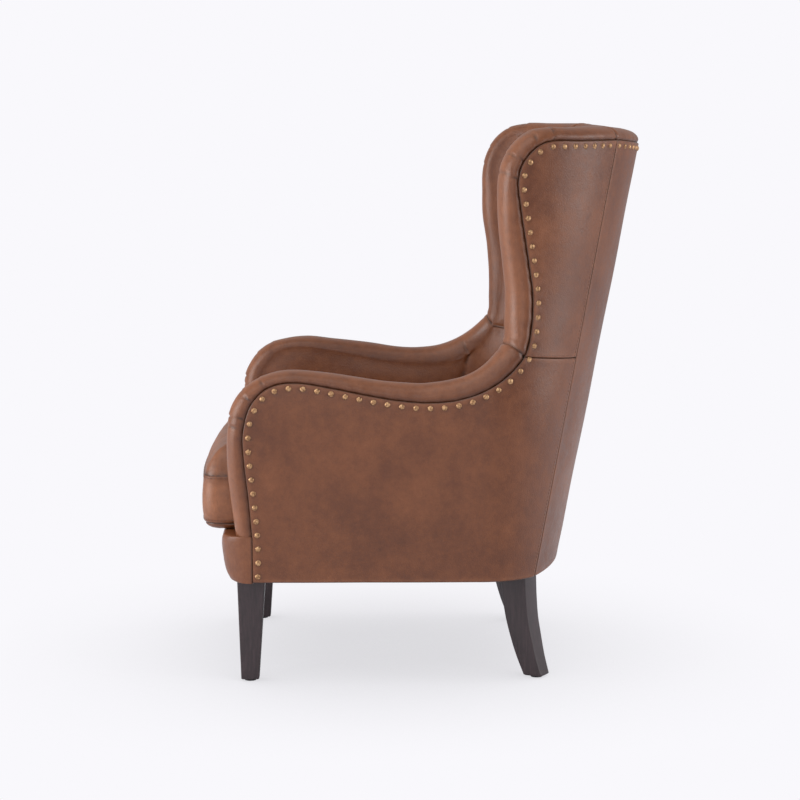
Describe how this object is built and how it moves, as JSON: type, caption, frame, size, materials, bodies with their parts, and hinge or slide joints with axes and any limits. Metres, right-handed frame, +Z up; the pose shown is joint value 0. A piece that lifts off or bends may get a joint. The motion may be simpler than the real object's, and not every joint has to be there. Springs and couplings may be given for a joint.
{
  "type": "wingback armchair",
  "caption": "Wingback armchair in brown leather with swooping padded arms, tall wings, a bowed back, a loose crowned seat cushion, brass nail-head edging and tapered dark wood legs.",
  "frame": {"origin": "on the floor, under the middle of the chair's bounding box", "axes": "+Z up, -Y the way the chair faces, +X to the sitter's left, the chair is mirror-symmetric about X = 0"},
  "size_m": [0.7268, 0.8555, 1.0453],
  "materials": {
    "brown_leather": "semi-matt, waxed brown",
    "foam": "open-cell foam with wadding",
    "antique_brass": "dull antique brass",
    "webbing": "woven elastic",
    "black_cloth": "non-woven cloth",
    "espresso_wood": "satin dark stain",
    "zinc_steel": "zinc plated",
    "glide_plastic": "matt black",
    "frame_wood": "raw sawn hardwood"
  },
  "bodies": {
    "chair": {"arm_board_left": "frame_wood", "arm_board_right": "frame_wood", "arm_front_post_left": "frame_wood", "arm_front_post_right": "frame_wood", "arm_pad_left": "foam", "arm_pad_right": "foam", "arm_roll_left": "brown_leather", "arm_roll_right": "brown_leather", "back_lower_rail": "frame_wood", "back_pad": "foam", "back_post_left": "frame_wood", "back_post_right": "frame_wood", "back_top_rail": "frame_wood", "back_top_roll": "brown_leather", "back_webbing": "webbing", "corner_blocks": "frame_wood", "dust_cover": "black_cloth", "front_leg_left": "espresso_wood", "front_leg_right": "espresso_wood", "front_rail_cover": "brown_leather", "front_rail_pad": "foam", "inside_arm_cover_left": "brown_leather", "inside_arm_cover_right": "brown_leather", "inside_back_cover": "brown_leather", "inside_wing_cover_left": "brown_leather", "inside_wing_cover_right": "brown_leather", "leg_bolts": "zinc_steel", "leg_glides": "glide_plastic", "nail_heads_back": "antique_brass", "nail_heads_left": "antique_brass", "nail_heads_right": "antique_brass", "outside_arm_panel_left": "brown_leather", "outside_arm_panel_right": "brown_leather", "outside_back_panel": "brown_leather", "outside_wing_panel_left": "brown_leather", "outside_wing_panel_right": "brown_leather", "rear_leg_left": "espresso_wood", "rear_leg_right": "espresso_wood", "seat_deck_cover": "black_cloth", "seat_deck_pad": "foam", "seat_rail_back": "frame_wood", "seat_rail_front": "frame_wood", "seat_rail_side_left": "frame_wood", "seat_rail_side_right": "frame_wood", "seat_webbing": "webbing", "wing_board_left": "frame_wood", "wing_board_right": "frame_wood", "wing_pad_left": "foam", "wing_pad_right": "foam", "wing_roll_left": "brown_leather", "wing_roll_right": "brown_leather", "wing_top_tie_left": "frame_wood", "wing_top_tie_right": "frame_wood"},
    "cushion": {"seat_cushion_cover": "brown_leather", "seat_cushion_core": "foam"}
  },
  "joints": [
    {"name": "cushion_lift", "type": "slide", "parent": "chair", "child": "cushion", "axis": [0, 0, 1], "range_m": [0, 0.2]}
  ]
}
